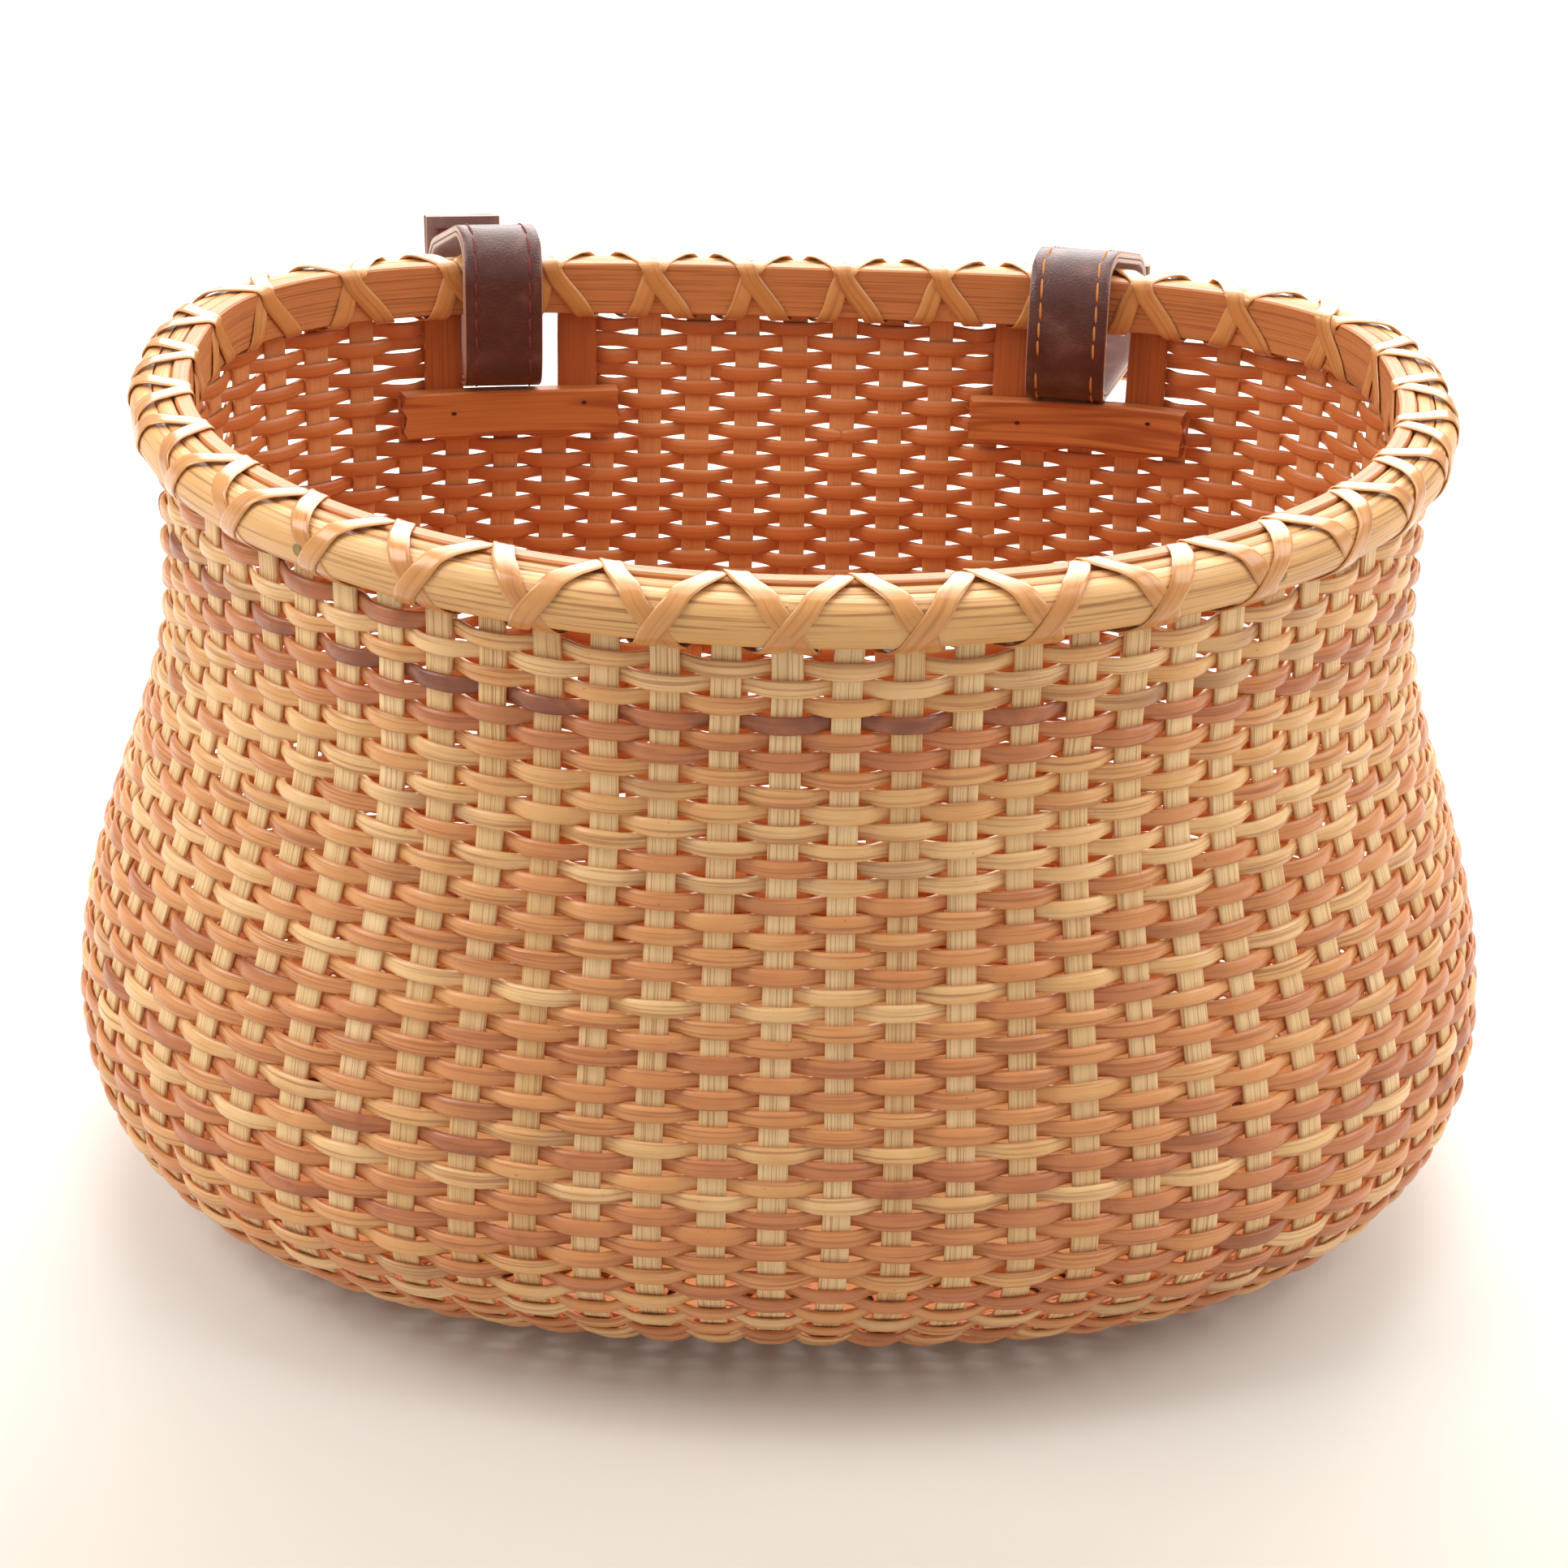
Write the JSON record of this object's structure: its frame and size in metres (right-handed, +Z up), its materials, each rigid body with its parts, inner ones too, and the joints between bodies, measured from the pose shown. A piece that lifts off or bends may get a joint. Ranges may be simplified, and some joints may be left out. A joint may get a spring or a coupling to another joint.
{
  "type": "handlebar basket",
  "caption": "Woven wicker handlebar basket with a D-shaped bowl, cane-lashed hoop rim and buckled leather straps through slots in the back.",
  "frame": {"origin": "middle of the flat underside, on the surface the basket stands on", "axes": "+X along the handlebar to the basket's right as seen from the front, +Y back towards the handlebar, +Z up"},
  "size_m": [0.3504, 0.2769, 0.211],
  "materials": {
    "board": "matte",
    "stave": "matte",
    "reed": "satin",
    "hoop_flat": "satin",
    "hoop_round": "satin",
    "filler": "matte",
    "cane": "satin",
    "nail": "dull",
    "post": "satin",
    "crossbar": "satin",
    "brad": "dark",
    "leather": "satin pebbled",
    "lining": "matte",
    "thread": "matte",
    "rivet": "satin",
    "buckle": "polished"
  },
  "bodies": {
    "basket": {"base_board": "board", "staves_front": "stave", "staves_back": "stave", "staves_left": "stave", "staves_right": "stave", "weave_foot": "reed", "weave_belly": "reed", "weave_shoulder": "reed", "weave_neck": "reed", "rim_hoop_inner": "hoop_flat", "rim_hoop_outer": "hoop_round", "rim_filler": "filler", "rim_lashing": "cane", "rim_lashing_return": "cane", "rim_nails": "nail", "slot_left_outer_post": "post", "slot_left_inner_post": "post", "slot_left_crossbar": "crossbar", "slot_left_brads": "brad", "slot_right_outer_post": "post", "slot_right_inner_post": "post", "slot_right_crossbar": "crossbar", "slot_right_brads": "brad"},
    "strap_left": {"strap_left_leather": "leather", "strap_left_lining": "lining", "strap_left_stitching": "thread", "strap_left_rivet": "rivet"},
    "buckle_left": {"buckle_left_frame": "buckle"},
    "prong_left": {"buckle_left_prong": "buckle"},
    "strap_right": {"strap_right_leather": "leather", "strap_right_lining": "lining", "strap_right_stitching": "thread", "strap_right_rivet": "rivet"},
    "buckle_right": {"buckle_right_frame": "buckle"},
    "prong_right": {"buckle_right_prong": "buckle"}
  },
  "joints": [
    {"name": "strap_left_swing", "type": "hinge", "parent": "basket", "child": "strap_left", "pos_m": [-0.0749, 0.10834, 0.195], "axis": [0.9903, 0.1386, 0], "range_deg": [-10, 6]},
    {"name": "buckle_left_tilt", "type": "hinge", "parent": "strap_left", "child": "buckle_left", "pos_m": [-0.08048, 0.14819, 0.1802], "axis": [0.9903, 0.1386, 0], "range_deg": [0, 12]},
    {"name": "prong_left_lift", "type": "hinge", "parent": "buckle_left", "child": "prong_left", "pos_m": [-0.08048, 0.14819, 0.1802], "axis": [0.9903, 0.1386, 0], "range_deg": [0, 25]},
    {"name": "strap_right_swing", "type": "hinge", "parent": "basket", "child": "strap_right", "pos_m": [0.0749, 0.10834, 0.195], "axis": [0.9903, -0.1386, 0], "range_deg": [-10, 6]},
    {"name": "buckle_right_tilt", "type": "hinge", "parent": "strap_right", "child": "buckle_right", "pos_m": [0.08048, 0.14819, 0.1802], "axis": [0.9903, -0.1386, 0], "range_deg": [0, 12]},
    {"name": "prong_right_lift", "type": "hinge", "parent": "buckle_right", "child": "prong_right", "pos_m": [0.08048, 0.14819, 0.1802], "axis": [0.9903, -0.1386, 0], "range_deg": [0, 25]}
  ]
}
